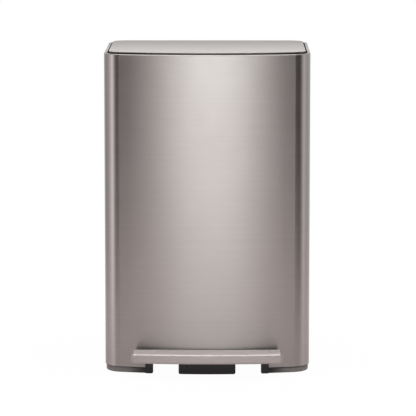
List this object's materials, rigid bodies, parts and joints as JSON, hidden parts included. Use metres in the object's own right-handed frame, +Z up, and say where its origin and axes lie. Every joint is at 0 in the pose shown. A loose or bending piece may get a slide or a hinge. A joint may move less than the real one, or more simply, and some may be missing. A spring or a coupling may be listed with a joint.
{
  "type": "pedal trash can",
  "caption": "Tall step-on waste bin with bowed brushed steel body, flat proud lid, wide foot pedal, black base, lift-out bucket and lift-rod linkage.",
  "frame": {"origin": "on the floor under the middle of the overall box, pedal included", "axes": "+Z up, pedal and bowed front towards -Y, width along X"},
  "size_m": [0.411, 0.378, 0.646],
  "materials": {
    "brushed_steel": "brushed satin",
    "black_plastic": "satin moulded",
    "bucket_plastic": "matte moulded",
    "zinc_steel": "zinc plated",
    "bright_steel": "ground and plated",
    "screw_steel": "plated",
    "white_nylon": "moulded",
    "damper_grey": "moulded",
    "rubber": "matte"
  },
  "bodies": {
    "body": {"body_shell": "brushed_steel", "base": "black_plastic", "rubber_feet": "rubber", "foot_screws": "screw_steel", "top_collar": "black_plastic", "inner_bucket": "bucket_plastic", "channel_cover": "black_plastic", "cover_screws": "screw_steel", "rod_guides": "white_nylon", "guide_screws": "screw_steel", "damper_cylinder": "damper_grey", "damper_saddles": "white_nylon", "saddle_screws": "screw_steel", "hinge_rod": "bright_steel", "hinge_caps": "screw_steel", "pedal_axle": "bright_steel", "axle_caps": "black_plastic", "axle_cap_screws": "screw_steel", "axle_clips": "screw_steel"},
    "lid": {"lid_skin": "brushed_steel", "lid_tray": "black_plastic", "lid_crank": "zinc_steel", "crank_screws": "screw_steel", "lid_bumpers": "rubber", "hinge_bushes": "white_nylon"},
    "pedal": {"pedal_tread": "brushed_steel", "pedal_core": "black_plastic", "pedal_screws": "screw_steel", "lever_arm_left": "zinc_steel", "lever_arm_right": "zinc_steel", "lever_crossbar": "zinc_steel", "lever_tongue": "zinc_steel", "axle_bushes": "white_nylon"},
    "rod": {"lift_rod": "bright_steel", "upper_pin": "bright_steel", "lower_pin": "bright_steel", "pin_washers": "screw_steel", "damper_piston": "bright_steel", "damper_arm": "zinc_steel"}
  },
  "joints": [
    {"name": "lid_open", "type": "hinge", "parent": "body", "child": "lid", "pos_m": [0, 0.1715, 0.638], "axis": [-1, 0, 0], "range_deg": [0, 85]},
    {"name": "pedal_press", "type": "hinge", "parent": "body", "child": "pedal", "pos_m": [0, -0.016, 0.034], "axis": [1, 0, 0], "range_deg": [0, 8.48]},
    {"name": "rod_lift", "type": "slide", "parent": "body", "child": "rod", "axis": [0, 0, 1], "range_m": [0, 0.02523]}
  ],
  "couplings": [
    {"joint": "pedal_press", "follows": "lid_open", "ratio": 0.099707},
    {"joint": "rod_lift", "follows": "lid_open", "m_per_rad": 0.017}
  ]
}
